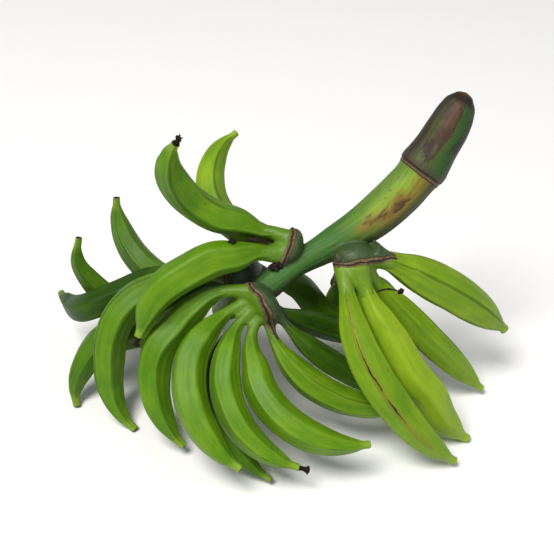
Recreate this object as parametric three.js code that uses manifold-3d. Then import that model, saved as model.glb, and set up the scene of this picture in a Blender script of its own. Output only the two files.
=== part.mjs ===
// A bunch of green plantains, cut from the plant and resting on its fingers with the
// stalk's cut end up. Millimetres, +Z up, with the surface it rests on at z = 0.
//
// The stalk carries four hands. A hand is a crown, the pad that grew on the stalk, and the
// fingers seated in it. Each finger is described by where it sits on the crown, the
// direction in which it leaves, the direction in which its tip points, its length and its
// girth. The fingers then settle: they press each other apart and lie on the surface.

import * as THREE from 'three';
import { mergeVertices } from 'three/addons/utils/BufferGeometryUtils.js';
import Module from 'manifold-3d';

// ---------------------------------------------------------------- driving dimensions

const GAP = 0.3; // left between pieces that touch
const CLEARANCE = 0.8; // left between fingers once they have settled

const STALK_ROUTE = [
  [-30, -14, 152],
  [8, 2, 179],
  [52, 15, 201],
  [102, 29, 229],
  [146, 46, 268],
  [176, 62, 310],
  [202, 82, 356],
];
// The stalk's radius at shares of its length, from the far end to the cut end.
const STALK_RADII = [
  [0, 9],
  [0.02, 12],
  [0.2, 14],
  [0.34, 18],
  [0.5, 22.5],
  [0.62, 24],
  [0.69, 24.2],
  [0.705, 25],
  [0.725, 27],
  [0.76, 25.5],
  [0.8, 23.5],
  [0.88, 22.5],
  [0.93, 20.5],
  [0.965, 16.5],
  [0.99, 10],
];
const STALK_SIDES = 16;

// A finger's radius at shares of its length, as a share of its full radius: first with a
// slender neck, then with a stout one.
const FINGER_RADII = [
  [0, 0.28, 0.44],
  [0.08, 0.31, 0.47],
  [0.16, 0.46, 0.6],
  [0.27, 0.8, 0.86],
  [0.38, 0.97, 0.98],
  [0.53, 1, 1],
  [0.68, 0.95, 0.95],
  [0.8, 0.8, 0.8],
  [0.89, 0.57, 0.57],
  [0.945, 0.35, 0.35],
  [0.965, 0.26, 0.26],
  [0.995, 0.23, 0.23],
];
const RIDGES = 5; // lengthwise edges of a finger
const FACE_RADIUS = 0.92; // a face's middle, as a share of the radius at the ridges
const NECK_SINK = 7; // how deep a finger's neck sits in its crown

// The dried flower left on some tips: radii at shares of its length.
const FLOWER_LENGTH = 13;
const FLOWER_RADII = [
  [0, 2.4],
  [0.3, 3.2],
  [0.55, 2.6],
  [0.85, 4.4],
  [0.98, 3.4],
];
const FLOWER_SIDES = 8;

// Angles are [heading, rise] in degrees. Heading 0 is +X, 90 is +Y. Rise is up from level.
const HANDS = [
  {
    name: 'hand_1',
    crown: { centre: [84, -2, 201], facing: [-80, -60], size: [24, 17, 21] },
    fingers: [
      {
        seat: [-140, -30], leave: [-100, -20], end: [12, -42],
        length: 268, girth: 21, stout: 0.5, bend: 0.72,
      },
      { seat: [-75, -35], leave: [-70, -42], end: [12, -48], length: 250, girth: 24, stout: 0.5 },
      { seat: [-10, -50], leave: [0, -55], end: [3, -46], length: 235, girth: 19, stout: 0.6 },
      { seat: [10, 8], leave: [8, -27], end: [13, -45], length: 212, girth: 25, stout: 0.7 },
      { seat: [-120, -75], leave: [-60, -85], end: [-4, -42], length: 200, girth: 16 },
      { seat: [45, -40], leave: [45, -64], end: [42, -40], length: 235, girth: 18 },
      { seat: [110, -20], leave: [105, -62], end: [80, -52], length: 230, girth: 17 },
    ],
  },
  {
    name: 'hand_2',
    crown: { centre: [16, 10, 208], facing: [180, 20], size: [20, 12, 20] },
    fingers: [
      {
        seat: [174, 38], leave: [170, 10], end: [-40, 50],
        length: 213, girth: 20.5, stout: 0.3, bend: 1.6, flower: true,
      },
      {
        seat: [140, 0], leave: [171, -4], end: [28, 25],
        length: 200, girth: 18, stout: 0.5, bend: 1.2,
      },
      {
        seat: [-152, -25], leave: [-171, 24], end: [-138, -60],
        length: 201, girth: 23, stout: 0.5, flower: true,
      },
    ],
  },
  {
    name: 'hand_3',
    crown: { centre: [-17, -25, 156], facing: [-140, -20], size: [28, 15, 28] },
    fingers: [
      { seat: [178, 48], leave: [174, 13], end: [-24, -40], length: 246, girth: 21, bend: 0.85 },
      { seat: [-168, 8], leave: [-167, 0], end: [-20, -24], length: 228, girth: 20 },
      { seat: [-165, -38], leave: [-162, -26], end: [-24, -20], length: 220, girth: 15 },
      { seat: [-130, -14], leave: [-150, -12], end: [-4, -16], length: 222, girth: 18, flower: true },
      { seat: [-100, -40], leave: [-124, -24], end: [12, -2], length: 226, girth: 19 },
      { seat: [-58, -50], leave: [-74, -46], end: [14, 3], length: 206, girth: 17 },
      { seat: [-35, -10], leave: [-20, -55], end: [10, -20], length: 195, girth: 15 },
      { seat: [20, -30], leave: [35, -45], end: [20, -20], length: 190, girth: 16 },
    ],
  },
  {
    name: 'hand_4',
    crown: { centre: [-37, 19, 162], facing: [150, -20], size: [28, 16, 24] },
    fingers: [
      { seat: [168, 24], leave: [175, -22], end: [108, -12], length: 267, girth: 19.5, bend: 3 },
      { seat: [165, -50], leave: [174, -44], end: [25, 70], length: 280, girth: 18, bend: 1.9 },
      { seat: [128, -5], leave: [153, -42], end: [60, 80], length: 244, girth: 19, bend: 1.5 },
      { seat: [-168, -22], leave: [-178, -24], end: [-60, -62], length: 266, girth: 20.5, bend: 3.5 },
      { seat: [-150, 12], leave: [174, 8], end: [-25, -40], length: 282, girth: 20.5, bend: 1.1 },
      { seat: [90, -40], leave: [118, -62], end: [100, -28], length: 225, girth: 18, flower: true },
      { seat: [60, 0], leave: [18, -36], end: [14, -38], length: 172, girth: 18 },
    ],
  },
];

// ---------------------------------------------------------------- directions and radii

const DEGREE = Math.PI / 180;

function direction([heading, rise]) {
  const level = Math.cos(rise * DEGREE);
  return new THREE.Vector3(
    level * Math.cos(heading * DEGREE),
    level * Math.sin(heading * DEGREE),
    Math.sin(rise * DEGREE),
  );
}

function valueAt(share, table) {
  const next = table.findIndex(([place]) => place >= share);
  if (next <= 0) {
    return next === 0 ? table[0][1] : table[table.length - 1][1];
  }
  const [lowPlace, lowValue] = table[next - 1];
  const [highPlace, highValue] = table[next];
  return THREE.MathUtils.mapLinear(share, lowPlace, highPlace, lowValue, highValue);
}

// stout is 0 for the slender neck and 1 for the stout one.
function fingerRadii({ stout = 0 }) {
  return FINGER_RADII.map(([share, slender, thick]) => (
    [share, THREE.MathUtils.lerp(slender, thick, stout)]
  ));
}

// ---------------------------------------------------------------- routes

const stalkPoints = STALK_ROUTE.map((point) => new THREE.Vector3(...point));
const stalkCurve = new THREE.CatmullRomCurve3(stalkPoints);

const ROUTE_STEPS = 20;
const EARLY_BEND = 0.85; // under 1, a finger bends more near its neck than near its tip

// A finger bends steadily from its first direction to its last, more near the neck.
function fingerRoute(base, finger) {
  const leave = direction(finger.leave);
  const turn = new THREE.Quaternion().setFromUnitVectors(leave, direction(finger.end));
  const step = finger.length / ROUTE_STEPS;
  const route = [base.clone()];
  for (let i = 0; i < ROUTE_STEPS; i += 1) {
    const share = (i + 0.5) / ROUTE_STEPS;
    const bent = new THREE.Quaternion().slerp(turn, share ** (finger.bend ?? EARLY_BEND));
    const heading = leave.clone().applyQuaternion(bent);
    route.push(route[i].clone().addScaledVector(heading, step));
  }
  return route;
}

// Where a ray from the crown's middle meets its surface, less the depth of the seat.
function seatOn(crown, seat) {
  const ray = direction(seat);
  const local = ray.clone().applyQuaternion(crownTurn(crown).invert());
  const [width, depth, height] = crown.size;
  const reach = 1 / Math.hypot(local.x / width, local.y / depth, local.z / height);
  return new THREE.Vector3(...crown.centre).addScaledVector(ray, reach - NECK_SINK);
}

// A crown is wide across the direction it faces.
function crownTurn(crown) {
  const front = direction(crown.facing);
  const side = new THREE.Vector3(0, 0, 1).cross(front).normalize();
  const up = new THREE.Vector3().crossVectors(front, side).normalize();
  const basis = new THREE.Matrix4().makeBasis(side, front.clone(), up);
  if (basis.determinant() < 0) {
    basis.makeBasis(side.negate(), front, up);
  }
  return new THREE.Quaternion().setFromRotationMatrix(basis);
}

// ---------------------------------------------------------------- settling

const SETTLE_PASSES = 240;
const FINGER_PRESS = 0.35; // the part of an overlap each of two fingers gives in a pass
const FIRM_PRESS = 0.7; // the part a finger gives to the stalk or to a crown
const PUSH_SPREAD = 0.3; // the part of a push handed on to each side along a finger
const FIRM_NECK = 0.2; // the share of a finger, from its base, that hardly gives way
const NECK_GIVE = 0.15; // how far it does give way, at the base
const STALK_BALLS = 30;

function radiusAt(finger, index) {
  return finger.girth * valueAt(index / ROUTE_STEPS, finger.radii);
}

// How far two round stretches must part, as a push on the first one.
function pushApart(point, radius, other, otherRadius) {
  const away = point.clone().sub(other);
  const distance = away.length();
  const overlap = radius + otherRadius + CLEARANCE - distance;
  return overlap > 0 ? away.multiplyScalar(overlap / Math.max(distance, 1)) : null;
}

function settle(fingers, obstacles) {
  const give = (index) => {
    const free = THREE.MathUtils.smoothstep(index / ROUTE_STEPS, 0, FIRM_NECK);
    return Math.max(free, NECK_GIVE);
  };
  for (let pass = 0; pass < SETTLE_PASSES; pass += 1) {
    const pushes = fingers.map((finger) => finger.route.map(() => new THREE.Vector3()));
    fingers.forEach((finger, f) => {
      finger.route.forEach((point, i) => {
        const radius = radiusAt(finger, i);
        for (let g = f + 1; g < fingers.length; g += 1) {
          fingers[g].route.forEach((other, j) => {
            const push = pushApart(point, radius, other, radiusAt(fingers[g], j));
            if (push) {
              pushes[f][i].addScaledVector(push, FINGER_PRESS);
              pushes[g][j].addScaledVector(push, -FINGER_PRESS);
            }
          });
        }
        for (const obstacle of obstacles) {
          if (i / ROUTE_STEPS < FIRM_NECK && obstacle.hand === finger.hand) {
            continue;
          }
          const push = pushApart(point, radius, obstacle.point, obstacle.radius);
          if (push) {
            pushes[f][i].addScaledVector(push, FIRM_PRESS);
          }
        }
        const flowerRoom = finger.flower && i === ROUTE_STEPS ? FLOWER_LENGTH / 2 : 0;
        pushes[f][i].z += Math.max(radius + flowerRoom - point.z, 0);
      });
    });
    fingers.forEach((finger, f) => {
      const smooth = pushes[f].map((push, i) => {
        const before = pushes[f][Math.max(i - 1, 0)];
        const after = pushes[f][Math.min(i + 1, ROUTE_STEPS)];
        return push.clone()
          .multiplyScalar(1 - 2 * PUSH_SPREAD)
          .addScaledVector(before, PUSH_SPREAD)
          .addScaledVector(after, PUSH_SPREAD);
      });
      finger.route.forEach((point, i) => point.addScaledVector(smooth[i], give(i)));
    });
  }
}

// ---------------------------------------------------------------- solids

// Leaves only positions, joins equal vertices and drops the slivers at a lathe's poles.
function weld(geometry) {
  const bare = geometry.clone();
  bare.deleteAttribute('normal');
  bare.deleteAttribute('uv');
  const welded = mergeVertices(bare, 1e-3);
  const corners = welded.getIndex().array;
  const kept = [];
  for (let i = 0; i < corners.length; i += 3) {
    const [a, b, c] = corners.slice(i, i + 3);
    if (a !== b && b !== c && c !== a) {
      kept.push(a, b, c);
    }
  }
  welded.setIndex(kept);
  return welded;
}

// Bends a lathed piece, turned about its y axis, along a curve. flute gives the radius
// factor at an angle round the piece, and side is the way that angle 90 degrees faces.
function bendAlong(geometry, curve, side, flute) {
  const length = curve.getLength();
  const position = geometry.getAttribute('position');
  for (let i = 0; i < position.count; i += 1) {
    const share = THREE.MathUtils.clamp(position.getY(i) / length, 0, 1);
    const beyond = position.getY(i) - share * length;
    const tangent = curve.getTangentAt(share);
    const across = side.clone().addScaledVector(tangent, -side.dot(tangent)).normalize();
    const up = across.clone().cross(tangent);
    const factor = flute(Math.atan2(position.getX(i), position.getZ(i)));
    const point = curve.getPointAt(share)
      .addScaledVector(tangent, beyond)
      .addScaledVector(across, position.getX(i) * factor)
      .addScaledVector(up, position.getZ(i) * factor);
    position.setXYZ(i, point.x, point.y, point.z);
  }
  return weld(geometry);
}

function latheProfile(radii, length, scale, swell) {
  const profile = radii.map(([share, radius]) => (
    new THREE.Vector2(radius * scale + swell, share * length)
  ));
  profile[0].y -= swell;
  return [
    new THREE.Vector2(0, profile[0].y),
    ...profile,
    new THREE.Vector2(0, length + swell),
  ];
}

function stalkGeometry(swell = 0) {
  const profile = latheProfile(STALK_RADII, stalkCurve.getLength(), 1, swell);
  const lathe = new THREE.LatheGeometry(profile, STALK_SIDES);
  return bendAlong(lathe, stalkCurve, new THREE.Vector3(0, 1, 0), () => 1);
}

function fingerGeometry(finger, swell = 0) {
  const curve = new THREE.CatmullRomCurve3(finger.route);
  const profile = latheProfile(finger.radii, curve.getLength(), finger.girth, swell);
  const lathe = new THREE.LatheGeometry(profile, 2 * RIDGES);
  const hollow = (1 - FACE_RADIUS) / 2;
  const flute = (angle) => 1 - hollow + hollow * Math.cos(RIDGES * angle);
  const bendAxis = direction(finger.leave).cross(direction(finger.end)).normalize();
  return bendAlong(lathe, curve, bendAxis, flute);
}

// A dried flower carries straight on from its finger's tip.
function flowerGeometry(finger) {
  const tip = finger.route[ROUTE_STEPS];
  const onward = tip.clone().sub(finger.route[ROUTE_STEPS - 1]).normalize();
  const start = tip.clone().addScaledVector(onward, GAP);
  const line = new THREE.LineCurve3(start, start.clone().addScaledVector(onward, FLOWER_LENGTH));
  const lathe = new THREE.LatheGeometry(latheProfile(FLOWER_RADII, FLOWER_LENGTH, 1, 0), FLOWER_SIDES);
  const side = new THREE.Vector3(0, 0, 1).cross(onward).normalize();
  return bendAlong(lathe, line, side, () => 1);
}

const wasm = await Module();
wasm.setup();

function toSolid(geometry) {
  return new wasm.Manifold(new wasm.Mesh({
    numProp: 3,
    vertProperties: new Float32Array(geometry.getAttribute('position').array),
    triVerts: new Uint32Array(geometry.getIndex().array),
  }));
}

function fromSolid(solid) {
  const mesh = solid.getMesh();
  const geometry = new THREE.BufferGeometry();
  geometry.setAttribute('position', new THREE.BufferAttribute(new Float32Array(mesh.vertProperties), 3));
  geometry.setIndex(new THREE.BufferAttribute(new Uint32Array(mesh.triVerts), 1));
  return geometry;
}

const PAD_SIDES = 20;
const PAD_RINGS = 12;

function crownPad(crown, swell = 0) {
  const pad = new THREE.SphereGeometry(1, PAD_SIDES, PAD_RINGS);
  pad.scale(...crown.size.map((half) => half + swell));
  pad.applyQuaternion(crownTurn(crown));
  pad.translate(...crown.centre);
  return toSolid(weld(pad));
}

// The crown's pad, cut round the stalk, round the necks seated in it and round its neighbours.
function crownGeometry(crown, cutters) {
  let solid = crownPad(crown);
  for (const cutter of cutters) {
    solid = solid.subtract(cutter);
  }
  const pieces = solid.decompose();
  pieces.sort((one, other) => other.volume() - one.volume());
  return fromSolid(pieces[0]);
}

// ---------------------------------------------------------------- the bunch

const PEEL = new THREE.MeshStandardMaterial({ color: 0x7f9e2a, roughness: 0.5, metalness: 0 });
const STALK_SKIN = new THREE.MeshStandardMaterial({ color: 0x7d8a3c, roughness: 0.6, metalness: 0 });
const DRIED = new THREE.MeshStandardMaterial({ color: 0x3a2f26, roughness: 0.95, metalness: 0 });
const CROWN_SKIN = new THREE.MeshStandardMaterial({ color: 0x6f8a45, roughness: 0.65, metalness: 0 });

function addMesh(group, name, geometry, material) {
  const mesh = new THREE.Mesh(geometry, material);
  mesh.name = name;
  group.add(mesh);
}

function seatedFingers() {
  return HANDS.flatMap((hand) => hand.fingers.map((finger, index) => ({
    ...finger,
    name: `${hand.name}_finger_${index + 1}`,
    hand: hand.name,
    radii: fingerRadii(finger),
    route: fingerRoute(seatOn(hand.crown, finger.seat), finger),
  })));
}

// Balls that stand for the crowns and the stalk while the fingers settle.
function obstaclesToFingers() {
  const crowns = HANDS.map((hand) => ({
    point: new THREE.Vector3(...hand.crown.centre),
    radius: hand.crown.size[1],
    hand: hand.name,
  }));
  const stalk = stalkCurve.getSpacedPoints(STALK_BALLS).map((point, i) => ({
    point,
    radius: valueAt(i / STALK_BALLS, STALK_RADII),
    hand: null,
  }));
  return [...crowns, ...stalk];
}

const bunch = new THREE.Group();
const fingers = seatedFingers();
settle(fingers, obstaclesToFingers());

const cutters = [
  toSolid(stalkGeometry(GAP)),
  ...fingers.map((finger) => toSolid(fingerGeometry(finger, GAP))),
];
addMesh(bunch, 'stalk', stalkGeometry(), STALK_SKIN);
for (const { name, crown } of HANDS) {
  addMesh(bunch, `${name}_crown`, crownGeometry(crown, cutters), CROWN_SKIN);
  cutters.push(crownPad(crown, GAP));
}
for (const finger of fingers) {
  addMesh(bunch, finger.name, fingerGeometry(finger), PEEL);
  if (finger.flower) {
    addMesh(bunch, `${finger.name}_dried_flower`, flowerGeometry(finger), DRIED);
  }
}

// The origin goes to the surface, under the middle of the bunch's box.
const box = new THREE.Box3().setFromObject(bunch);
const middle = box.getCenter(new THREE.Vector3());
bunch.position.set(-middle.x, -middle.y, -box.min.z);

export default bunch;
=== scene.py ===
"""The looks of a bunch of green plantains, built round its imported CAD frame.

The stalk, every finger and every crown gets a finer skin, built over the CAD solid of the
same name. Lengths are in metres and angles in degrees, unless a name says otherwise.
"""

import math

import bpy
import numpy as np
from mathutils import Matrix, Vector, noise


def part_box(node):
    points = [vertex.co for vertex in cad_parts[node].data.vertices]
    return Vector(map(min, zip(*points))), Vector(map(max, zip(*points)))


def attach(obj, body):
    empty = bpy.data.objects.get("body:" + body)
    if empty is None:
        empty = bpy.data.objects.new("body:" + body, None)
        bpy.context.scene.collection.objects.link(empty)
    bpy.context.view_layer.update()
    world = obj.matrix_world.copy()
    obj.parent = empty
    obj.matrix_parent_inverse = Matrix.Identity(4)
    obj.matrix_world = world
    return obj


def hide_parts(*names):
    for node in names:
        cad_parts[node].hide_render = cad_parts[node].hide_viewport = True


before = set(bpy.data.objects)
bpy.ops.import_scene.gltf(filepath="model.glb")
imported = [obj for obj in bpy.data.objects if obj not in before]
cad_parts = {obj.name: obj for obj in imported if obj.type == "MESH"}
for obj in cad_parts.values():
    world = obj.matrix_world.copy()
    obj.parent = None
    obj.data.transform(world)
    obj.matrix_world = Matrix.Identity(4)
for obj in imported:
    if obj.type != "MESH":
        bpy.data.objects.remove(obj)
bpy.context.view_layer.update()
scene = bpy.context.scene

# ---------------------------------------------------------------- camera and light

CAMERA_TARGET = Vector((0, -0.0126, 0.1719))
CAMERA_DISTANCE = 1.2
CAMERA_HEADING = -90
CAMERA_ELEVATION = 35
CAMERA_WIDTH = 0.6094  # what the view takes in at the target
SENSOR = 36  # mm

LIGHT_DISTANCE = 5.0
# Each light's heading and rise, its width, its watts and its colour.
LIGHTS = {
    "key": (-125, 60, 2.4, 290, (1, 0.98, 0.94)),
    "fill": (-30, 50, 4.0, 45, (0.98, 0.99, 1)),
}
SKY_COLOR = (0.97, 0.98, 1)
SKY_STRENGTH = 0.3
FLOOR_COLOR = (0.87, 0.87, 0.865)
FLOOR_HALF = 6.0  # half of the floor's width


def towards(heading, rise):
    """A direction. Heading 0 is +X and 90 is +Y. Rise is up from level."""
    level = math.cos(math.radians(rise))
    return Vector((
        level * math.cos(math.radians(heading)),
        level * math.sin(math.radians(heading)),
        math.sin(math.radians(rise)),
    ))


def aim(thing, place, target):
    thing.location = place
    thing.rotation_euler = (target - place).to_track_quat("-Z", "Y").to_euler()


def make_camera():
    camera = bpy.data.objects.new("camera", bpy.data.cameras.new("camera"))
    scene.collection.objects.link(camera)
    camera.data.sensor_width = SENSOR
    camera.data.lens = SENSOR * CAMERA_DISTANCE / CAMERA_WIDTH
    place = CAMERA_TARGET + CAMERA_DISTANCE * towards(CAMERA_HEADING, CAMERA_ELEVATION)
    aim(camera, place, CAMERA_TARGET)
    scene.camera = camera


def make_light(name):
    heading, rise, size, watts, color = LIGHTS[name]
    light = bpy.data.lights.new(name, "AREA")
    light.shape = "DISK"
    light.size = size
    light.energy = watts
    light.color = color
    lamp = bpy.data.objects.new(name, light)
    scene.collection.objects.link(lamp)
    aim(lamp, CAMERA_TARGET + LIGHT_DISTANCE * towards(heading, rise), CAMERA_TARGET)


def make_stage():
    mesh = bpy.data.meshes.new("floor")
    signs = [(-1, -1), (1, -1), (1, 1), (-1, 1)]
    corners = [(x * FLOOR_HALF, y * FLOOR_HALF, 0) for x, y in signs]
    mesh.from_pydata(corners, [], [(0, 1, 2, 3)])
    floor = bpy.data.objects.new("floor", mesh)
    scene.collection.objects.link(floor)
    paint = Paint("floor_paint", roughness=0.9)
    paint.base((*FLOOR_COLOR, 1))
    mesh.materials.append(paint.material)

    world = bpy.data.worlds.new("soft_daylight")
    world.use_nodes = True
    background = world.node_tree.nodes["Background"]
    background.inputs["Color"].default_value = (*SKY_COLOR, 1)
    background.inputs["Strength"].default_value = SKY_STRENGTH
    scene.world = world
    scene.view_settings.view_transform = "Standard"
    for name in LIGHTS:
        make_light(name)


# ---------------------------------------------------------------- materials


class Paint:
    """Builds one node material. Sockets can be used wherever a number can."""

    def __init__(self, name, roughness=0.5, specular=0.5):
        self.material = bpy.data.materials.new(name)
        self.material.use_nodes = True
        self.tree = self.material.node_tree
        self.shader = self.tree.nodes["Principled BSDF"]
        self.shader.inputs["Roughness"].default_value = roughness
        self.shader.inputs["Specular IOR Level"].default_value = specular

    def feed(self, socket, value):
        if isinstance(value, bpy.types.NodeSocket):
            self.tree.links.new(value, socket)
        else:
            socket.default_value = value

    def add(self, kind, settings=None, **inputs):
        node = self.tree.nodes.new(kind)
        for name, value in (settings or {}).items():
            setattr(node, name, value)
        for name, value in inputs.items():
            self.feed(node.inputs[name], value)
        return node

    def attribute(self, name, output="Fac"):
        return self.add("ShaderNodeAttribute", {"attribute_name": name}).outputs[output]

    def math(self, operation, first, second=0.0, third=0.0):
        node = self.add("ShaderNodeMath", {"operation": operation})
        for socket, value in zip(node.inputs, (first, second, third)):
            self.feed(socket, value)
        return node.outputs[0]

    def plus(self, total, value, share=1.0):
        """total with a share of value added to it."""
        return self.math("MULTIPLY_ADD", value, share, total)

    def wobble(self, value, wave, amount):
        """value moved up and down by up to half of amount, with a noise from 0 to 1."""
        return self.plus(self.math("SUBTRACT", value, amount / 2), wave, amount)

    def off(self, value, middle):
        """How far value is from middle."""
        return self.math("ABSOLUTE", self.math("SUBTRACT", value, middle))

    def step(self, value, low, high):
        """0 below low, 1 above high and smooth between. Low may be the larger one."""
        node = self.add("ShaderNodeMapRange", {"interpolation_type": "SMOOTHSTEP"})
        flip = low > high
        self.feed(node.inputs["Value"], value)
        self.feed(node.inputs["From Min"], min(low, high))
        self.feed(node.inputs["From Max"], max(low, high))
        self.feed(node.inputs["To Min"], 1.0 if flip else 0.0)
        self.feed(node.inputs["To Max"], 0.0 if flip else 1.0)
        return node.outputs["Result"]

    def drawn_out(self, vector, lengthwise):
        """A vector to read a texture at. Below 1, lengthwise makes it longer along Z."""
        node = self.add("ShaderNodeVectorMath", {"operation": "MULTIPLY"})
        self.feed(node.inputs[0], vector)
        self.feed(node.inputs[1], (1, 1, lengthwise))
        return node.outputs[0]

    def noise(self, vector, size, detail=2.0, rough=0.5, lengthwise=1.0):
        """Noise from 0 to 1 whose lumps are about size across."""
        node = self.add("ShaderNodeTexNoise", Scale=1 / size, Detail=detail, Roughness=rough)
        self.feed(node.inputs["Vector"], self.drawn_out(vector, lengthwise))
        return node.outputs["Fac"]

    def specks(self, vector, spacing, size, lengthwise=1.0):
        """1 inside small dots that lie about spacing apart, else 0."""
        node = self.add("ShaderNodeTexVoronoi", Scale=1 / spacing, Randomness=1.0)
        self.feed(node.inputs["Vector"], self.drawn_out(vector, lengthwise))
        return self.step(node.outputs["Distance"], size / spacing, 0.4 * size / spacing)

    def ramp(self, value, stops):
        node = self.add("ShaderNodeValToRGB", Fac=value)
        elements = node.color_ramp.elements
        while len(elements) < len(stops):
            elements.new(1.0)
        for element, (place, color) in zip(elements, stops):
            element.position = place
            element.color = (*color, 1)
        return node.outputs["Color"]

    def mix(self, share, first, second):
        node = self.add("ShaderNodeMix", {"data_type": "RGBA", "clamp_factor": True})
        self.feed(node.inputs["Factor"], share)
        for name, value in (("A", first), ("B", second)):
            socket = next(s for s in node.inputs if s.name == name and s.type == "RGBA")
            self.feed(socket, (*value, 1) if isinstance(value, tuple) else value)
        return next(s for s in node.outputs if s.type == "RGBA")

    def cover(self, color, mask, over, strength=1.0):
        """color with over laid on it where mask is 1."""
        return self.mix(self.math("MULTIPLY", mask, strength), color, over)

    def base(self, color):
        self.feed(self.shader.inputs["Base Color"], color)

    def roughness(self, value):
        self.feed(self.shader.inputs["Roughness"], value)

    def bump(self, height, depth):
        node = self.add("ShaderNodeBump", Distance=depth, Height=height)
        self.feed(self.shader.inputs["Normal"], node.outputs["Normal"])


DEEP_GREEN = (0.017, 0.055, 0.002)
LEAF_GREEN = (0.082, 0.195, 0.004)
YELLOW_GREEN = (0.240, 0.370, 0.014)
PALE_GREEN = (0.300, 0.430, 0.050)
BLUE_GREEN = (0.016, 0.052, 0.008)
# The paler blue-green painted on the stalk's lit side, as painted light.
LIT_SIDE_GREEN = (0.038, 0.125, 0.015)
GREY_GREEN = (0.050, 0.085, 0.030)
GREY_OLIVE = (0.075, 0.085, 0.040)
NECK_GREEN = (0.075, 0.165, 0.008)
AMBER = (0.200, 0.120, 0.018)
RUST = (0.090, 0.042, 0.012)
PURPLE_BROWN = (0.044, 0.024, 0.014)
COLLAR_BROWN = (0.048, 0.036, 0.024)
CUT_BROWN = (0.085, 0.055, 0.026)
DARK_BROWN = (0.018, 0.011, 0.007)
CORK = (0.175, 0.135, 0.080)
RING_CORK = (0.190, 0.125, 0.060)
SOOT = (0.007, 0.006, 0.005)
PETAL_TAN = (0.100, 0.070, 0.045)
PEELED_GREY = (0.085, 0.065, 0.045)

PEEL_STOPS = [(0.0, DEEP_GREEN), (0.5, LEAF_GREEN), (1.0, YELLOW_GREEN)]
# The noises that shade the peel: the lumps' size, how they are drawn out along the finger,
# their detail and roughness, and how far they shift the shade.
PEEL_NOISES = {
    "mottle": (0.035, 1.0, 3, 0.5, 0.42),
    "cloud": (0.013, 0.35, 4, 0.6, 0.3),
    "streaks": (0.0018, 0.05, 3, 0.6, 0.2),
    "wide_streaks": (0.006, 0.1, 2, 0.5, 0.26),
}
NECK_PALENESS = 0.5
TIP_PALENESS = 0.4
RIDGE_SHADE = 0.05  # how much lighter a ridge is
USUAL_RIDGE = 0.4  # the ridge value whose shade stays as it is
DRY_TIP = 1.012  # along a finger, and on into its cap, where the peel has dried
WAXY = 0.36  # the smoothest peel's roughness
PEEL_BUMP = 0.0006


def peel_paint():
    """Waxy green peel. tone is how yellow, and for some fingers painted shade too; wear how
    scuffed, scar a scarred ridge.
    """
    paint = Paint("plantain_peel", specular=0.18)
    straight = paint.attribute("straight", "Vector")
    along = paint.attribute("along")
    ridge = paint.attribute("ridge")

    shade = paint.attribute("tone")
    noises = {}
    for name, (size, lengthwise, detail, rough, share) in PEEL_NOISES.items():
        noises[name] = paint.noise(straight, size, detail, rough, lengthwise)
        shade = paint.wobble(shade, noises[name], share)
    shade = paint.plus(shade, paint.math("SUBTRACT", ridge, USUAL_RIDGE), RIDGE_SHADE)
    color = paint.ramp(shade, PEEL_STOPS)

    # The neck is yellower, and so is the last of the tip.
    color = paint.cover(color, paint.step(along, 0.22, 0.06), NECK_GREEN, NECK_PALENESS)
    color = paint.cover(color, paint.step(along, 0.93, 0.985), PALE_GREEN, TIP_PALENESS)

    # Dark lines on the ridges, small pores, and scuffs that follow the ridges.
    crest = paint.wobble(ridge, noises["wide_streaks"], 0.9)
    color = paint.cover(color, paint.step(crest, 0.8, 1.06), DEEP_GREEN, 0.62)
    pores = paint.specks(straight, spacing=0.0046, size=0.0006, lengthwise=0.6)
    color = paint.cover(color, pores, DEEP_GREEN, 0.3)
    flecks = paint.specks(straight, spacing=0.017, size=0.0012, lengthwise=0.8)
    color = paint.cover(color, flecks, RUST, 0.6)
    scuffs = paint.noise(straight, 0.009, detail=6, rough=0.72, lengthwise=0.3)
    scuffs = paint.plus(scuffs, paint.attribute("wear"), 0.1)
    scuffs = paint.step(scuffs, 0.68, 0.78)
    color = paint.cover(color, scuffs, RUST, 0.65)

    # Dry scars: tan, and black along their middle where they are deepest.
    scar = paint.attribute("scar")
    dashes = paint.noise(straight, 0.0035, detail=4, rough=0.65, lengthwise=0.16)
    wide_scar = paint.math("MULTIPLY", scar, paint.math("ADD", dashes, 0.45))
    tan_scar = paint.step(wide_scar, 0.4, 0.75)
    color = paint.cover(color, tan_scar, AMBER, 0.45)
    deep_scar = paint.math("MULTIPLY", scar, paint.math("ADD", dashes, 0.4))
    color = paint.cover(color, paint.step(deep_scar, 0.87, 0.95), SOOT)

    dry_tip = paint.plus(along, noises["streaks"], 0.02)
    dry_tip = paint.step(dry_tip, DRY_TIP, DRY_TIP + 0.012)
    color = paint.cover(color, dry_tip, DARK_BROWN)
    paint.base(color)

    dull = paint.plus(WAXY, noises["mottle"], 0.2)
    dull = paint.plus(dull, scuffs, 0.3)
    paint.roughness(paint.plus(dull, dry_tip, 0.4))
    height = paint.plus(paint.math("MULTIPLY", noises["mottle"], 1.5), noises["streaks"], 0.35)
    paint.bump(paint.plus(height, tan_scar, 0.5), PEEL_BUMP)
    return paint.material


# The stalk's colours across it, from one flank to the other, below and above the ring. Besides
# its own yellow, orange-brown and olive, they darken to near black towards the shaded flank as
# painted shade.
STALK_LOWER_STOPS = [
    (0.05, (0.100, 0.190, 0.024)),
    (0.28, (0.175, 0.290, 0.015)),
    (0.45, (0.190, 0.215, 0.014)),
    (0.60, (0.130, 0.115, 0.014)),
    (0.74, (0.060, 0.070, 0.009)),
    (0.92, (0.018, 0.016, 0.006)),
]
STALK_UPPER_STOPS = [
    (0.06, (0.032, 0.027, 0.014)),
    (0.22, (0.066, 0.076, 0.014)),
    (0.46, (0.048, 0.066, 0.010)),
    (0.56, (0.024, 0.086, 0.010)),
    (0.78, (0.018, 0.060, 0.008)),
    (0.97, DARK_BROWN),
]
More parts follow.
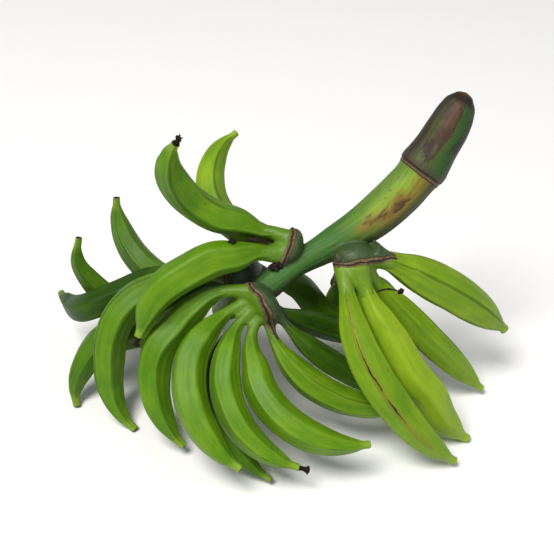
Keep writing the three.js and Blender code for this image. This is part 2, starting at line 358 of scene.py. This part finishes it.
# The ring's dark lines: where each lies and half its width, in the ring's own measure.
RING_LINES = [(-0.85, 0.22), (0.75, 0.5)]
COLLAR_MIDDLE = 2.4  # the grey band above the ring, in the same measure
STALK_BUMP = 0.0008


def stalk_paint():
    """Green at its lower end, yellower by the ring, streaked brown above it."""
    paint = Paint("stalk_skin", specular=0.3)
    straight = paint.attribute("straight", "Vector")
    along = paint.attribute("along")
    flank = paint.attribute("flank")

    fibres = paint.noise(straight, 0.0016, detail=3, rough=0.6, lengthwise=0.03)
    bands = paint.noise(straight, 0.011, detail=3, rough=0.6, lengthwise=0.16)
    mottle = paint.noise(straight, 0.03, detail=3)
    blotch_noise = paint.noise(straight, 0.009, detail=5, rough=0.65, lengthwise=0.3)
    across = paint.plus(0.5, paint.wobble(flank, bands, 0.8), 0.5)

    # Below the ring: blue-green, painted paler on the lit side as painted light, then
    # yellower, with amber blotches along the middle.
    painted_light_mask = paint.wobble(paint.attribute("painted_light"), fibres, 0.3)
    green = paint.mix(paint.step(painted_light_mask, 0.25, 0.85), BLUE_GREEN, LIT_SIDE_GREEN)
    yellower = paint.step(paint.wobble(along, bands, 0.16), 0.34, 0.56)
    color = paint.mix(yellower, green, paint.ramp(across, STALK_LOWER_STOPS))
    near_middle = paint.step(paint.off(flank, -0.05), 0.6, 0.05)
    zone = paint.math("MULTIPLY", near_middle, paint.step(along, 0.36, 0.45))
    blotches = paint.plus(blotch_noise, zone, 0.19)
    color = paint.cover(color, paint.step(blotches, 0.56, 0.70), AMBER, 0.7)
    color = paint.cover(color, paint.step(blotches, 0.68, 0.78), RUST, 0.6)

    # Above the ring: olive, then green, darkening to dark brown on the shaded flank as painted
    # shade, with a brown and purple streak up the middle.
    upper = paint.ramp(across, STALK_UPPER_STOPS)
    near_streak = paint.step(paint.off(flank, -0.32), 0.5, 0.1)
    zone = paint.math("MULTIPLY", near_streak, paint.step(along, 0.72, 0.90))
    streak = paint.plus(blotch_noise, zone, 0.42)
    upper = paint.cover(upper, paint.step(streak, 0.60, 0.78), PURPLE_BROWN)
    upper = paint.cover(upper, paint.step(streak, 0.78, 0.92), RUST, 0.8)
    color = paint.mix(paint.step(along, 0.704, 0.716), color, upper)
    dark_spots = paint.step(paint.plus(blotch_noise, mottle, 0.2), 0.66, 0.76)
    color = paint.cover(color, dark_spots, DARK_BROWN, 0.65)

    # The ring where a bract was: a thin dark line, cork, a thick dark line, grey above.
    ring = paint.wobble(paint.attribute("ring"), bands, 0.6)
    collar = paint.step(paint.off(ring, COLLAR_MIDDLE), 1.7, 0.7)
    color = paint.cover(color, collar, COLLAR_BROWN, 0.6)
    cork = paint.mix(fibres, RING_CORK, PURPLE_BROWN)
    color = paint.mix(paint.step(paint.off(ring, 0), 1.1, 0.8), color, cork)
    for middle, half in RING_LINES:
        line = paint.step(paint.off(ring, middle), 1.4 * half, 0.6 * half)
        color = paint.cover(color, line, DARK_BROWN)

    # The cut end has dried, darkest at its rim.
    core = paint.noise(straight, 0.003, detail=4, rough=0.7)
    dry_end = paint.step(paint.plus(along, bands, 0.02), 0.955, 0.985)
    color = paint.cover(color, dry_end, DARK_BROWN)
    cut_color = paint.mix(core, CUT_BROWN, PURPLE_BROWN)
    color = paint.mix(paint.step(along, 0.985, 0.992), color, cut_color)
    paint.base(color)
    paint.roughness(paint.plus(0.36, blotches, 0.3))
    height = paint.plus(fibres, bands, 1.2)
    paint.bump(paint.plus(height, core, 0.4), STALK_BUMP)
    return paint.material


RIM_STRIPES = 5.5  # how fast the dark stripes follow each other across the rim
CROWN_BUMP = 0.0008


def crown_paint():
    """Green on the stalk's side of the rim, corky brown at the rim, peel past it."""
    paint = Paint("crown_skin", specular=0.35)
    place = paint.add("ShaderNodeTexCoord").outputs["Object"]
    grain = paint.noise(place, 0.004, detail=4, rough=0.6)
    cloud = paint.noise(place, 0.018, detail=3)
    rim = paint.wobble(paint.attribute("rim"), cloud, 1.2)

    stalk_side = paint.mix(cloud, BLUE_GREEN, GREY_GREEN)
    stalk_side = paint.cover(stalk_side, paint.step(grain, 0.5, 0.75), GREY_OLIVE)
    neck_side = paint.ramp(paint.wobble(paint.attribute("tone"), grain, 0.3), PEEL_STOPS)
    neck_side = paint.mix(NECK_PALENESS, neck_side, NECK_GREEN)
    color = paint.mix(paint.step(rim, 0.2, 0.9), stalk_side, neck_side)

    ragged = paint.plus(paint.off(rim, 0), grain, 0.9)
    inside = paint.step(ragged, 1.65, 1.2)
    cork = paint.mix(paint.step(grain, 0.3, 0.7), CORK, RUST)
    color = paint.cover(color, inside, cork)
    waves = paint.plus(paint.math("MULTIPLY", rim, RIM_STRIPES), grain, 2.0)
    stripes = paint.step(paint.math("SINE", waves), -0.1, 0.6)
    stripes = paint.math("MULTIPLY", inside, stripes)
    color = paint.cover(color, stripes, DARK_BROWN)
    paint.base(color)
    paint.roughness(paint.plus(0.45, inside, 0.35))
    height = paint.plus(grain, cloud, 2.0)
    paint.bump(paint.plus(height, stripes, -0.8), CROWN_BUMP)
    return paint.material


def dried_paint(name, dark, middle, light):
    """Dry and shrivelled, with a fine grain."""
    paint = Paint(name, roughness=0.95, specular=0.2)
    place = paint.add("ShaderNodeTexCoord").outputs["Object"]
    grain = paint.noise(place, 0.0012, detail=4, rough=0.7)
    folds = paint.noise(place, 0.004, detail=3)
    shade = paint.plus(paint.math("MULTIPLY", folds, 0.6), grain, 0.5)
    paint.base(paint.ramp(shade, [(0.35, dark), (0.6, middle), (0.85, light)]))
    paint.bump(grain, 0.0008)
    return paint.material


# ---------------------------------------------------------------- reading the frame

WELD = 1e-5  # points closer than this are one point
TANGENT_REACH = 0.002  # how far to each side a tangent is taken, as a share of the length


def welded(mesh):
    """A mesh's separate points, and for each the points it is joined to."""
    numbers = {}
    where = []
    for vertex in mesh.vertices:
        key = tuple(round(value / WELD) for value in vertex.co)
        where.append(numbers.setdefault(key, len(numbers)))
    points = np.zeros((len(numbers), 3))
    for vertex, number in zip(mesh.vertices, where):
        points[number] = vertex.co
    links = [set() for _ in numbers]
    for edge in mesh.edges:
        first, second = (where[i] for i in edge.vertices)
        if first != second:
            links[first].add(second)
            links[second].add(first)
    return points, links


def lathe_rings(node, near):
    """The rings of points of a lathed CAD solid, from the end that is nearer to near."""
    points, links = welded(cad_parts[node].data)
    poles = sorted(range(len(points)), key=lambda i: -len(links[i]))[:2]
    poles.sort(key=lambda i: np.linalg.norm(points[i] - near))
    seen = {poles[0]}
    ring = set(seen)
    rings = []
    while ring:
        ring = {j for i in ring for j in links[i]} - seen
        seen |= ring
        if len(ring) > 1:
            rings.append(points[sorted(ring)])
    return rings, points[poles[1]]


def unit(vectors):
    return vectors / np.linalg.norm(vectors, axis=-1, keepdims=True)


class Spine:
    """The centre line of a lathed CAD solid, with its radius and the way it is turned."""

    def __init__(self, node, near):
        rings, end = lathe_rings(node, near)
        centres = np.array([ring.mean(axis=0) for ring in rings])
        steps = np.linalg.norm(np.diff(np.vstack([centres, end]), axis=0), axis=1)
        self.length = steps.sum()
        self.knots = np.concatenate([[0], np.cumsum(steps)]) / self.length
        self.centres = np.vstack([centres, end])
        self.radii = np.array([
            np.linalg.norm(ring - centre, axis=1).max() for ring, centre in zip(rings, centres)
        ])
        self.radii = np.append(self.radii, self.radii[-1])
        self.marks = self.ring_marks(rings, centres)

    def ring_marks(self, rings, centres):
        """For each ring the direction from its centre to one lengthwise row of corners."""
        widest = int(np.argmax(self.radii))
        marks = [None] * len(rings)
        spokes = rings[widest] - centres[widest]
        marks[widest] = unit(spokes[np.argmax(np.linalg.norm(spokes, axis=1))])
        order = [(i, i - 1) for i in range(widest + 1, len(rings))]
        order += [(i, i + 1) for i in range(widest - 1, -1, -1)]
        for ring, known in order:
            spokes = unit(rings[ring] - centres[ring])
            marks[ring] = spokes[np.argmax(spokes @ marks[known])]
        return np.array([*marks, marks[-1]])

    def at(self, shares):
        """Centres, the two directions across, tangents and radii at shares of the length."""
        centres = curve_through(self.knots, self.centres, shares)
        ahead = curve_through(self.knots, self.centres, np.minimum(shares + TANGENT_REACH, 1))
        behind = curve_through(self.knots, self.centres, np.maximum(shares - TANGENT_REACH, 0))
        tangents = unit(ahead - behind)
        marks = curve_through(self.knots, self.marks, shares)
        marks -= (marks * tangents).sum(axis=1, keepdims=True) * tangents
        first = unit(marks)
        second = np.cross(tangents, first)
        return centres, first, second, tangents, curve_through(self.knots, self.radii, shares)


def curve_through(knots, values, places):
    """A smooth curve through values at unevenly spaced knots, read at places."""
    values = np.asarray(values, float)
    column = (slice(None),) + (None,) * (values.ndim - 1)
    gaps = np.diff(knots)
    slopes = np.diff(values, axis=0) / gaps[column]
    inner = (slopes[:-1] * gaps[1:][column] + slopes[1:] * gaps[:-1][column]) / (
        gaps[:-1] + gaps[1:]
    )[column]
    turns = np.concatenate([slopes[:1], inner, slopes[-1:]])
    k = np.clip(np.searchsorted(knots, places, side="right") - 1, 0, len(gaps) - 1)
    gap = gaps[k][column]
    t = ((places - knots[k]) / gaps[k])[column]
    return (
        (2 * t**3 - 3 * t**2 + 1) * values[k]
        + (t**3 - 2 * t**2 + t) * gap * turns[k]
        + (3 * t**2 - 2 * t**3) * values[k + 1]
        + (t**3 - t**2) * gap * turns[k + 1]
    )


# ---------------------------------------------------------------- building meshes


def full_turn(sides):
    return np.arange(sides) * 2 * np.pi / sides


def all_round(first, second, sides):
    """Unit spokes round a centre line: a row for each centre, a column for each angle."""
    angles = full_turn(sides)
    return (
        np.cos(angles)[None, :, None] * first[:, None, :]
        + np.sin(angles)[None, :, None] * second[:, None, :]
    )


def spread(values, sides):
    """One value a row, made into a table with a column for each angle."""
    return np.repeat(np.asarray(values)[:, None], sides, axis=1)


def straightened(wall, shares, length):
    """Where a tube's points would lie if its centre line ran straight up from zero."""
    sides = wall.shape[1]
    angles = full_turn(sides)
    return np.stack([
        wall * np.cos(angles),
        wall * np.sin(angles),
        spread(shares * length, sides),
    ], axis=-1)


def tube(centres, first, second, radii):
    """A closed tube. radii has a row for each centre and a column for each angle."""
    rows, columns = radii.shape
    wall = centres[:, None, :] + radii[:, :, None] * all_round(first, second, columns)
    points = np.vstack([wall.reshape(-1, 3), centres[:1], centres[-1:]])
    start, end = rows * columns, rows * columns + 1
    last = (rows - 1) * columns
    faces = []
    for j in range(columns):
        k = (j + 1) % columns
        faces.append((start, k, j))
        faces.append((end, last + j, last + k))
        for i in range(0, last, columns):
            faces.append((i + j, i + k, i + columns + k, i + columns + j))
    return points, faces


def per_point(table):
    """A table of a tube's wall as one value a point, with its two end points."""
    flat = table.reshape(-1, *table.shape[2:])
    return np.concatenate([flat, table[:1].mean(axis=1), table[-1:].mean(axis=1)])


def make_piece(name, points, faces, material, attributes=None, replaces=()):
    points[:, 2] = np.maximum(points[:, 2], 0)
    mesh = bpy.data.meshes.new(name)
    mesh.from_pydata([tuple(p) for p in points], [], faces)
    for key, values in (attributes or {}).items():
        vector = np.ndim(values) == 2
        layer = mesh.attributes.new(key, "FLOAT_VECTOR" if vector else "FLOAT", "POINT")
        flat = np.asarray(values, np.float32).ravel()
        layer.data.foreach_set("vector" if vector else "value", flat)
    mesh.materials.append(material)
    mesh.shade_smooth()
    piece = bpy.data.objects.new(name, mesh)
    scene.collection.objects.link(piece)
    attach(piece, "root")
    if replaces:
        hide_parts(*replaces)


def lumps(places, size, seed):
    """Smooth noise from -1 to 1 at each of an array's places, with lumps of a size."""
    flat = places.reshape(-1, 3) / size + seed
    values = [noise.noise(Vector(p)) for p in flat]
    return np.array(values).reshape(places.shape[:-1])


def smoothstep(values, low, high):
    t = np.clip((values - low) / (high - low), 0, 1)
    return t * t * (3 - 2 * t)


# ---------------------------------------------------------------- fingers

FINGER_SIDES = 60
FINGER_ROWS = 84
TIP_ROWS = 22
TIP_SHARE = 0.9  # the tip's rows start here
RIDGES = 5
RIDGE_DEPTH = 0.14  # how far a face's middle lies inside the ridges, as a share
NECK_RIDGE_DEPTH = 0.2
RIDGE_SHARPNESS = 3.2
RIDGE_HEIGHTS = (0.65, 1.25)  # the lowest and the highest ridge
FACE_LIFT = 1.1  # a ridge of this height would stand out to the full radius
UNEVEN = 0.16  # how far ridges stray from even spacing, in radians
# Where along a finger each of these sets in, from nothing to full.
NECK_END = (0.05, 0.3)
BODY_START = (0.1, 0.3)
BODY_END = (0.9, 0.96)
TIP_START = (0.95, 0.975)
TIP_ROUNDNESS = 0.7  # how much shallower the faces are at the tip
DENT_SIZE = 0.03
DENT_DEPTH = 0.0009
DENT_SHIFT = 0.3  # makes dents deeper than bumps are high
WRINKLE_SIZE = 0.003
WRINKLE_DEPTH = 0.00025
WRINKLE_DRAW = np.array([1, 1, 0.12])  # wrinkles are longer along the finger
WRINKLE_SEED = 50
CAP_SHARES = (0.98, 0.86, 0.62, 0.4, 0.2)  # radii of the dry cap, from its rim inwards
CAP_DEPTHS = (0.0004, 0.0011, 0.0015, 0.0012, 0.0006)
CAP_ALONG = (1.0, 1.008, 1.018, 1.03, 1.04)  # carries on the share of the length
CAP_RAGGED = 0.12
CAP_LUMPS = 0.5

# How yellow each hand's fingers are, and the fingers that differ from their hand. Those set
# far below their hand (hand_1_finger_5 to 7, hand_3_finger_3, 7 and 8, and hand_4_finger_1)
# are darkened as painted shade, where they lie in shadow.
HAND_TONES = {"hand_1": 0.78, "hand_2": 0.5, "hand_3": 0.55, "hand_4": 0.36}
FINGER_TONES_AND_SHADE = {
    "hand_1_finger_1": 0.72,
    "hand_1_finger_2": 0.95,
    "hand_1_finger_5": 0.3,
    "hand_1_finger_6": 0.4,
    "hand_1_finger_7": 0.3,
    "hand_2_finger_2": 0.72,
    "hand_3_finger_1": 0.5,
    "hand_3_finger_3": 0.3,
    "hand_3_finger_7": 0.15,
    "hand_3_finger_8": 0.1,
    "hand_4_finger_1": 0.02,
    "hand_4_finger_2": 0.25,
    "hand_4_finger_4": 0.3,
    "hand_4_finger_5": 0.5,
}
# Scarred ridges: the way the ridge faces, and where along the finger it is scarred.
SCARS = {
    "hand_1_finger_1": (towards(-90, 30), 0.1, 0.9),
    "hand_1_finger_4": (towards(80, 60), 0.04, 0.5),
    "hand_1_finger_3": (towards(60, 60), 0.15, 0.4),
}
WEAR = 0.5
SCAR_WEAR = 1.0
SCAR_COLUMNS = (0.3, 3.2)  # how many rows of points it spreads over to each side, fading
SCAR_FADE_IN = 0.06  # as a share of the finger's length
SCAR_FADE_OUT = 0.08


def finger_rows():
    body = np.linspace(0, TIP_SHARE, FINGER_ROWS - TIP_ROWS, endpoint=False)
    return np.concatenate([body, np.linspace(TIP_SHARE, 1, TIP_ROWS)])


def cross_section(shares, seed):
    """How far out each point is, as a share of the radius, and how near to a ridge."""
    random = np.random.default_rng(seed)
    angles = full_turn(FINGER_SIDES)
    phases = random.uniform(0, 2 * np.pi, 2)
    stray = np.sin(angles + phases[0]) + 0.5 * np.sin(2 * angles + phases[1])
    strayed = angles + UNEVEN * stray
    ridge = (0.5 + 0.5 * np.cos(RIDGES * strayed)) ** RIDGE_SHARPNESS
    heights = random.uniform(*RIDGE_HEIGHTS, RIDGES)
    nearest = np.round(strayed * RIDGES / (2 * np.pi)).astype(int) % RIDGES
    ridge = ridge[None, :] * heights[nearest][None, :]
    in_neck = 1 - smoothstep(shares, *NECK_END)
    depth = RIDGE_DEPTH + (NECK_RIDGE_DEPTH - RIDGE_DEPTH) * in_neck
    depth = depth * (1 - TIP_ROUNDNESS * smoothstep(shares, *TIP_START))
    return 1 - depth[:, None] * (FACE_LIFT - ridge), np.repeat(ridge, len(shares), axis=0)


def scar_table(name, shares, spokes):
    """How scarred each point is: a line along the ridge that faces the scar's way."""
    table = np.zeros(spokes.shape[:2])
    if name not in SCARS:
        return table
    facing, start, end = SCARS[name]
    turned = spokes @ np.array(facing)
    middle = len(shares) // 2
    column = int(np.argmax(turned[middle]))
    step = FINGER_SIDES // RIDGES
    column = int(round(column / step)) * step % FINGER_SIDES
    half = FINGER_SIDES / 2
    apart = np.abs((np.arange(FINGER_SIDES) - column + half) % FINGER_SIDES - half)
    band = 1 - smoothstep(apart, *SCAR_COLUMNS)
    fade_in = smoothstep(shares, start, start + SCAR_FADE_IN)
    fade_out = 1 - smoothstep(shares, end - SCAR_FADE_OUT, end)
    return (fade_in * fade_out)[:, None] * band[None, :]


def build_finger(hand, number, near, paint):
    name = f"{hand}_finger_{number}"
    seed = 10 * int(hand[-1]) + number
    spine = Spine(name, near)
    shares = finger_rows()
    centres, first, second, tangents, radii = spine.at(shares)
    section, ridge = cross_section(shares, seed)
    table = radii[:, None] * section
    spokes = all_round(first, second, FINGER_SIDES)
    straight = straightened(table, shares, spine.length)
    body = smoothstep(shares, *BODY_START) * (1 - smoothstep(shares, *BODY_END))
    table += DENT_DEPTH * body[:, None] * (lumps(straight, DENT_SIZE, seed) - DENT_SHIFT)
    wrinkles = lumps(straight * WRINKLE_DRAW, WRINKLE_SIZE, seed + WRINKLE_SEED)
    table += WRINKLE_DEPTH * wrinkles

    # The dry cap closes the blunt tip.
    rows = len(CAP_SHARES)
    cap_centres = centres[-1] + np.outer(CAP_DEPTHS, tangents[-1])
    rim_spokes = np.repeat(spokes[-1:], rows, axis=0)
    ragged = 1 + CAP_RAGGED * lumps(rim_spokes, CAP_LUMPS, seed)
    cap_radii = radii[-1] * np.array(CAP_SHARES)[:, None] * ragged
    points, faces = tube(
        np.vstack([centres, cap_centres]),
        np.vstack([first, np.repeat(first[-1:], rows, axis=0)]),
        np.vstack([second, np.repeat(second[-1:], rows, axis=0)]),
        np.vstack([table, cap_radii]),
    )

    def with_cap(values, cap=None):
        if cap is None:
            cap = np.repeat(values[-1:], rows, axis=0)
        return per_point(np.concatenate([values, cap]))

    tone = FINGER_TONES_AND_SHADE.get(name, HAND_TONES[hand])
    worn = SCAR_WEAR if name in SCARS else WEAR
    along = with_cap(spread(shares, FINGER_SIDES), spread(CAP_ALONG, FINGER_SIDES))
    make_piece(
        f"{name}_skin", points, faces, paint,
        attributes={
            "straight": with_cap(straight) + np.array([0, 0, seed]),
            "along": along,
            "ridge": with_cap(ridge),
            "tone": np.full(len(points), tone),
            "wear": with_cap(worn * ridge),
            "scar": with_cap(scar_table(name, shares, spokes)),
        },
        replaces=[name],
    )


# ---------------------------------------------------------------- stalk

STALK_SIDES = 96
STALK_ROWS = 190
PAINTED_LIGHT_SIDE = towards(-150, 50)  # the side painted palest, as painted light
# The flank towards which the stalk's colour is painted darker, as painted shade.
SHADED_FLANK = towards(0, -20)
RING_SHARE = 0.709  # the bract's ring, along the stalk
RING_WIDTH = 0.0085
RING_HEIGHT = 0.0009
RING_WANDER = 0.25  # how far it strays, as a share of its width
RING_WANDER_SIZE = 0.8
RING_LIP = 0.85  # where its two lips lie, in its own measure
RING_LIP_WIDTH = 0.4
RING_SEED = 3
RIB_SIZE = 0.0035
RIB_DEPTH = 0.0005
RIB_DRAW = np.array([1, 1, 0.04])  # ribs run along the stalk
RIB_SEED = 9
STALK_DENT_SIZE = 0.02
STALK_DENT_DEPTH = 0.0012
STALK_DENT_DRAW = np.array([1, 1, 0.4])
STALK_DENT_SEED = 7
SMOOTH_END = (0.96, 1)  # where the ribs and dents fade out
CUT_ROUNDING = 0.012  # the share of the length over which the cut end closes


def build_stalk(near, paint):
    spine = Spine("stalk", near)
    shares = np.linspace(0, 1, STALK_ROWS)
    centres, first, second, _, radii = spine.at(shares)
    spokes = all_round(first, second, STALK_SIDES)
    radii = radii * np.sqrt(np.clip((1 - shares) / CUT_ROUNDING, 0, 1))
    wall = spread(radii, STALK_SIDES)
    straight = straightened(wall, shares, spine.length)
    wander = RING_WANDER * RING_WIDTH * lumps(spokes, RING_WANDER_SIZE, RING_SEED)
    ring = (shares[:, None] - RING_SHARE + wander) / RING_WIDTH
    lips = np.exp(-((np.abs(ring) - RING_LIP) / RING_LIP_WIDTH) ** 2)
    dents = lumps(straight * STALK_DENT_DRAW, STALK_DENT_SIZE, STALK_DENT_SEED)
    ribs = lumps(straight * RIB_DRAW, RIB_SIZE, RIB_SEED)
    solid = (1 - smoothstep(shares, *SMOOTH_END))[:, None]
    wall += solid * (RING_HEIGHT * lips + STALK_DENT_DEPTH * dents + RIB_DEPTH * ribs)
    points, faces = tube(centres, first, second, wall)
    painted_light = 0.5 + 0.5 * spokes @ np.array(PAINTED_LIGHT_SIDE)
    flank = spokes @ np.array(SHADED_FLANK)
    make_piece(
        "stalk_skin", points, faces, paint,
        attributes={
            "straight": per_point(straight),
            "along": per_point(spread(shares, STALK_SIDES)),
            "painted_light": per_point(painted_light),
            "flank": per_point(flank),
            "ring": per_point(ring),
        },
        replaces=["stalk"],
    )


# ---------------------------------------------------------------- crowns

VOXEL = 0.0018
SOFTEN_STEPS = 14
SOFTEN_FACTOR = 0.5
STUB_SHARE = 0.17  # how far a neck's stub reaches into the crown's mesh
STUB_SIDES = 24
STUB_ROWS = 10
NECK_FLARE = 0.55  # how much wider than the neck a stub is where it joins the pad
NECK_DIVE = 0.3  # how much narrower it is at its end, under the finger's skin
STALK_SLACK = 0.0006  # how far the stalk's stub stays inside the stalk's skin
STALK_REACH = 0.12  # how much of the stalk it takes in to each side
RIM_REACH = (0.026, 0.036)  # the rim fades out between these distances from the middle
RIM_WIDTH = 0.0036
RIM_HEIGHT = 0.0016
RIM_FORWARD = 0.005  # from the crown's middle towards the fingers
RIM_WANDER = 0.5  # how far it strays, as a share of its width
RIM_WANDER_SIZE = 0.012
RIM_WANDER_SEED = 5
RIM_UNEVEN = 0.6  # how much its height varies
RIM_UNEVEN_SIZE = 0.005
RIM_UNEVEN_SEED = 8
GROOVE_DEPTH = 0.6  # the grooves along its two sides, as a share of its height
GROOVE_PLACE = 0.9
GROOVE_WIDTH = 0.25
# The way each crown's rim faces.
RIM_FACING = {
    "hand_1": towards(-80, -60),
    "hand_2": towards(180, 20),
    "hand_3": towards(-148, -12),
    "hand_4": towards(150, -20),
}


def stub(spine, start, end, scale, slack=0.0):
    """A short stretch of a finger's neck or of the stalk, to be joined to the crown."""
    shares = np.linspace(start, end, STUB_ROWS)
    centres, first, second, _, radii = spine.at(shares)
    return tube(centres, first, second, spread(scale * radii - slack, STUB_SIDES))


def joined(parts):
    """Several meshes' points and faces as one mesh's."""
    points = []
    faces = []
    for part_points, part_faces in parts:
        offset = sum(len(p) for p in points)
        points.append(part_points)
        faces += [tuple(i + offset for i in face) for face in part_faces]
    return np.vstack(points), faces


def cad_solid(node):
    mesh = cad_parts[node].data
    points = np.array([vertex.co for vertex in mesh.vertices])
    return points, [tuple(polygon.vertices) for polygon in mesh.polygons]


def remeshed(points, faces):
    """One closed surface round overlapping solids, with its creases softened."""
    mesh = bpy.data.meshes.new("crown_draft")
    mesh.from_pydata([tuple(p) for p in points], [], faces)
    draft = bpy.data.objects.new("crown_draft", mesh)
    scene.collection.objects.link(draft)
    remesh = draft.modifiers.new("remesh", "REMESH")
    remesh.mode = "VOXEL"
    remesh.voxel_size = VOXEL
    soften = draft.modifiers.new("soften", "SMOOTH")
    soften.iterations = SOFTEN_STEPS
    soften.factor = SOFTEN_FACTOR
    shape = draft.evaluated_get(bpy.context.evaluated_depsgraph_get()).to_mesh()
    found = (
        np.array([vertex.co for vertex in shape.vertices]),
        np.array([vertex.normal for vertex in shape.vertices]),
        [tuple(polygon.vertices) for polygon in shape.polygons],
    )
    bpy.data.objects.remove(draft)
    return found


def build_crown(hand, necks, stalk_spine, paint):
    low, high = (np.array(corner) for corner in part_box(f"{hand}_crown"))
    centre = (low + high) / 2
    nearest = np.argmin(np.linalg.norm(stalk_spine.centres - centre, axis=1))
    middle = stalk_spine.knots[nearest]
    outwards = np.linspace(0, 1, STUB_ROWS)
    flare = 1 + NECK_FLARE * (1 - outwards) ** 2 - NECK_DIVE * outwards**2
    parts = [cad_solid(f"{hand}_crown")]
    parts += [stub(neck, 0, STUB_SHARE, flare) for neck in necks]
    start = max(middle - STALK_REACH, 0)
    end = min(middle + STALK_REACH, 1)
    parts.append(stub(stalk_spine, start, end, 1, STALK_SLACK))
    points, normals, faces = remeshed(*joined(parts))
    rim = ((points - centre) @ np.array(RIM_FACING[hand]) - RIM_FORWARD) / RIM_WIDTH
    rim = rim + RIM_WANDER * lumps(points, RIM_WANDER_SIZE, RIM_WANDER_SEED)
    close = 1 - smoothstep(np.linalg.norm(points - centre, axis=1), *RIM_REACH)
    grooves = np.exp(-(((np.abs(rim) - GROOVE_PLACE) / GROOVE_WIDTH) ** 2))
    lip = np.exp(-(rim**2)) - GROOVE_DEPTH * grooves
    lip = lip * (1 + RIM_UNEVEN * lumps(points, RIM_UNEVEN_SIZE, RIM_UNEVEN_SEED))
    points += normals * (RIM_HEIGHT * lip * close)[:, None]
    make_piece(
        f"{hand}_crown_skin", points, faces, paint,
        attributes={"rim": rim, "tone": np.full(len(points), HAND_TONES[hand])},
        replaces=[f"{hand}_crown"],
    )


# ---------------------------------------------------------------- dried flowers

PETALS = 5
FLOWER_SIDES = 30
FLOWER_ROWS = 22
FLOWER_TWIST = 1.2  # radians from end to end
FOLD_DEPTH = 0.38
CRUMPLE_SIZE = 0.003
CRUMPLE_DEPTH = 0.5
FLOWER_END = 0.1  # the share of the length over which its end closes


def build_flower(name, near, paint):
    """A shrivelled flower: a folded stump with its dry petals curled round it."""
    spine = Spine(name, near)
    shares = np.linspace(0, 1, FLOWER_ROWS)
    centres, first, second, _, radii = spine.at(shares)
    turned = full_turn(FLOWER_SIDES)[None, :] + FLOWER_TWIST * shares[:, None]
    folds = 1 - FOLD_DEPTH + FOLD_DEPTH * np.cos(PETALS * turned)
    radii = radii * np.sqrt(np.clip((1 - shares) / FLOWER_END, 0, 1))
    wall = radii[:, None] * folds
    spokes = all_round(first, second, FLOWER_SIDES)
    places = centres[:, None, :] + wall[:, :, None] * spokes
    wall *= 1 + CRUMPLE_DEPTH * lumps(places, CRUMPLE_SIZE, len(name))
    points, faces = tube(centres, first, second, wall)
    make_piece(f"{name}_skin", points, faces, paint, replaces=[name])


# ---------------------------------------------------------------- dry scraps

# Dry scraps of bract: the hand each hangs on, where it starts from the middle of that
# hand's crown, the way and the length it reaches, and its thickness.
SCRAPS = {
    "dry_thread": ("hand_1", (0.020, -0.026, -0.030), (0.030, 0.002, 0.001), 0.0010),
    "thread_end": ("hand_1", (0.048, -0.024, -0.032), (0.006, 0.000, 0.006), 0.0026),
    "peeled_edge": ("hand_1", (-0.020, -0.010, 0.012), (0.001, -0.008, -0.024), 0.0030),
    "peeled_tail": ("hand_1", (-0.021, -0.014, -0.010), (-0.002, -0.008, -0.014), 0.0024),
    "dry_knob": ("hand_2", (-0.060, -0.020, 0.017), (-0.006, -0.002, 0.006), 0.0036),
    "knob_stem": ("hand_2", (-0.054, -0.014, 0.012), (0.030, 0.002, -0.002), 0.0022),
    "black_bract": ("hand_2", (-0.010, -0.014, -0.008), (-0.016, -0.006, -0.008), 0.0048),
}
SCRAP_SIDES = 26
SCRAP_ROWS = 24
SCRAP_CURL = 0.16  # how far it bows up, as a share of its length
SCRAP_END = 0.02  # keeps a scrap's ends from closing to nothing
SCRAP_CRUMPLE = 0.8
SCRAP_CRUMPLE_SIZE = 0.9  # as a share of its thickness


def build_scrap(name, paint):
    hand, start, reach, thickness = SCRAPS[name]
    reach = np.array(reach)
    centre = np.mean(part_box(f"{hand}_crown"), axis=0)
    shares = np.linspace(0, 1, SCRAP_ROWS)
    along = unit(reach)
    first = unit(np.cross(along, (0, 1, 0)))
    second = np.cross(along, first)
    bow = SCRAP_CURL * np.linalg.norm(reach) * np.sin(np.pi * shares)
    line = centre + np.array(start) + np.outer(shares, reach) + np.outer(bow, first)
    first = np.repeat(first[None, :], SCRAP_ROWS, axis=0)
    second = np.repeat(second[None, :], SCRAP_ROWS, axis=0)
    wall = spread(thickness * np.sqrt(np.sin(np.pi * shares) + SCRAP_END), SCRAP_SIDES)
    places = line[:, None, :] + wall[:, :, None] * all_round(first, second, SCRAP_SIDES)
    crumples = lumps(places, SCRAP_CRUMPLE_SIZE * thickness, len(name))
    wall = wall * (1 + SCRAP_CRUMPLE * crumples)
    points, faces = tube(line, first, second, wall)
    make_piece(name, points, faces, paint)


# ---------------------------------------------------------------- the bunch


def build_bunch():
    peel = peel_paint()
    crown_skin = crown_paint()
    dried = dried_paint("dried_flower", SOOT, DARK_BROWN, PETAL_TAN)
    peeled = dried_paint("peeled_skin", DARK_BROWN, PEELED_GREY, CORK)
    far_end = np.mean(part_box("hand_3_crown"), axis=0)
    build_stalk(far_end, stalk_paint())
    stalk_spine = Spine("stalk", far_end)
    for hand in sorted({name[:6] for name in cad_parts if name.startswith("hand_")}):
        near = np.mean(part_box(f"{hand}_crown"), axis=0)
        necks = []
        number = 1
        while f"{hand}_finger_{number}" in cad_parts:
            name = f"{hand}_finger_{number}"
            build_finger(hand, number, near, peel)
            necks.append(Spine(name, near))
            if f"{name}_dried_flower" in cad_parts:
                build_flower(f"{name}_dried_flower", necks[-1].centres[-1], dried)
            number += 1
        build_crown(hand, necks, stalk_spine, crown_skin)
    for name in SCRAPS:
        build_scrap(name, peeled if name.startswith("peeled") else dried)


make_camera()
make_stage()
build_bunch()
